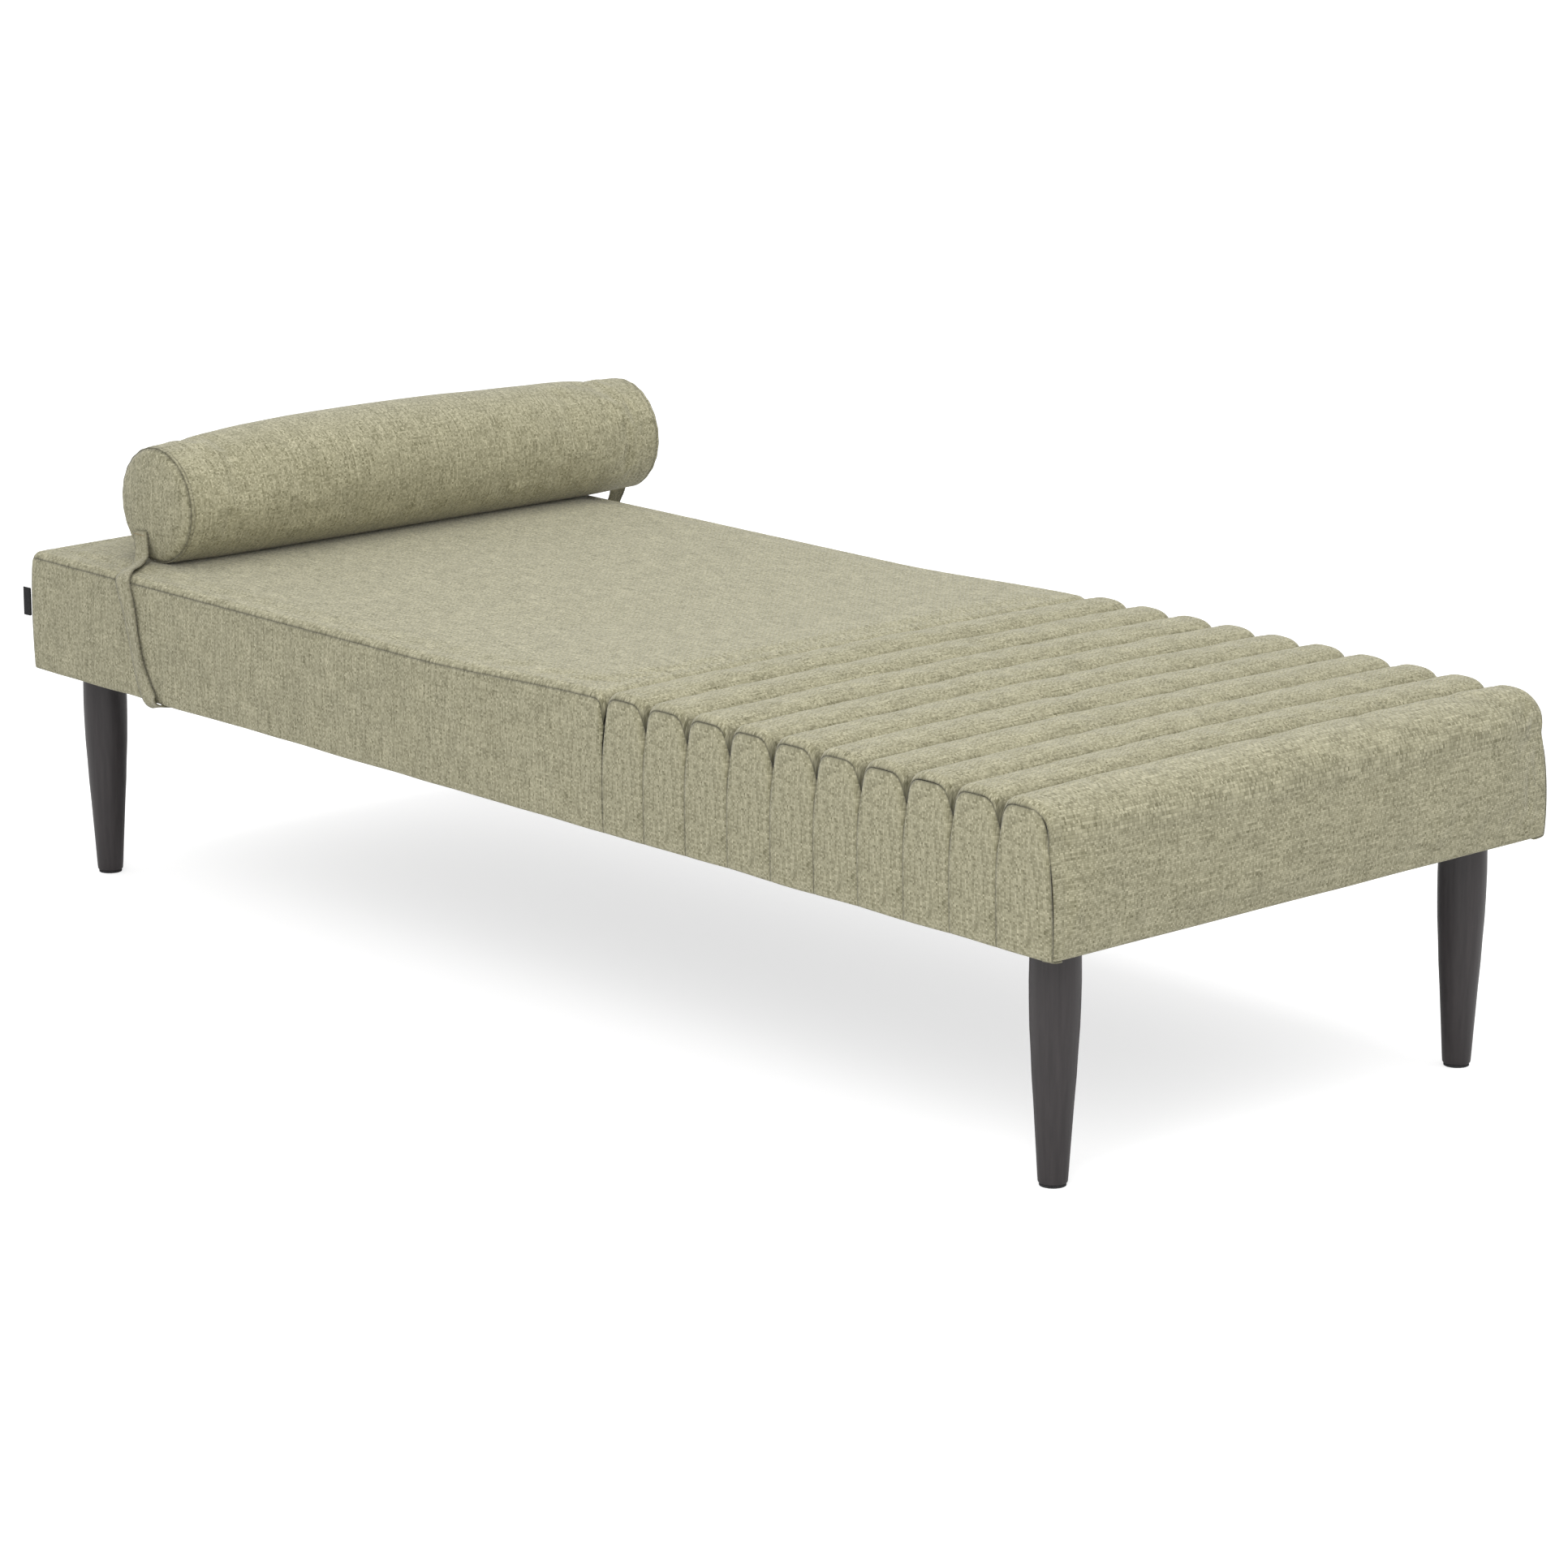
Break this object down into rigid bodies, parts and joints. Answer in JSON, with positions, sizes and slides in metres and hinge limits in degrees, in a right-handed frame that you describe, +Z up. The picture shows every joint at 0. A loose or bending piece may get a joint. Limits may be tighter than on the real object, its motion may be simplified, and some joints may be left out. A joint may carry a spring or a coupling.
{
  "type": "daybed chaise longue",
  "caption": "Low upholstered daybed with a channelled foot end, tapered turned legs and a loose strapped bolster that slides along the seat.",
  "frame": {"origin": "on the floor under the middle of the upholstered body, between the four legs", "axes": "+X along the length towards the channelled foot end, +Y across towards the back long side, +Z up"},
  "size_m": [1.9136, 0.8649, 0.6035],
  "materials": {
    "sage_weave": "matte",
    "stained_wood": "satin",
    "pine": "matte",
    "glide_felt": "matte",
    "zinc_steel": "satin",
    "webbing": "matte",
    "black_cloth": "matte",
    "black_tape": "satin",
    "foam": "matte"
  },
  "bodies": {
    "daybed": {"back_channel_ends": "sage_weave", "back_panel": "sage_weave", "border_foam_back": "foam", "border_foam_foot": "foam", "border_foam_front": "foam", "border_foam_head": "foam", "channel_filling_01": "foam", "channel_filling_02": "foam", "channel_filling_03": "foam", "channel_filling_04": "foam", "channel_filling_05": "foam", "channel_filling_06": "foam", "channel_filling_07": "foam", "channel_filling_08": "foam", "channel_filling_09": "foam", "channel_filling_10": "foam", "channel_panel": "sage_weave", "corner_block_foot_back": "pine", "corner_block_foot_front": "pine", "corner_block_head_back": "pine", "corner_block_head_front": "pine", "corner_tab": "black_tape", "cover_hem": "sage_weave", "cross_bands": "webbing", "cross_rail_foot": "pine", "cross_rail_head": "pine", "cross_rail_middle": "pine", "deck_cloth": "black_cloth", "dust_cover": "black_cloth", "foot_rail": "pine", "front_channel_ends": "sage_weave", "front_panel": "sage_weave", "glide_foot_back": "glide_felt", "glide_foot_front": "glide_felt", "glide_head_back": "glide_felt", "glide_head_front": "glide_felt", "hanger_bolts": "zinc_steel", "head_panel": "sage_weave", "head_rail": "pine", "leg_foot_back": "stained_wood", "leg_foot_front": "stained_wood", "leg_head_back": "stained_wood", "leg_head_front": "stained_wood", "long_bands": "webbing", "seat_foam": "foam", "seat_panel": "sage_weave", "side_rail_back": "pine", "side_rail_front": "pine", "tee_nuts": "zinc_steel"},
    "bolster": {"bolster_core": "foam", "bolster_cover": "sage_weave", "bolster_end_back": "sage_weave", "bolster_end_front": "sage_weave", "strap_back": "sage_weave", "strap_front": "sage_weave", "strap_under": "sage_weave"}
  },
  "joints": [
    {"name": "bolster_slide", "type": "slide", "parent": "daybed", "child": "bolster", "axis": [1, 0, 0], "range_m": [-0.1, 0.6]}
  ]
}
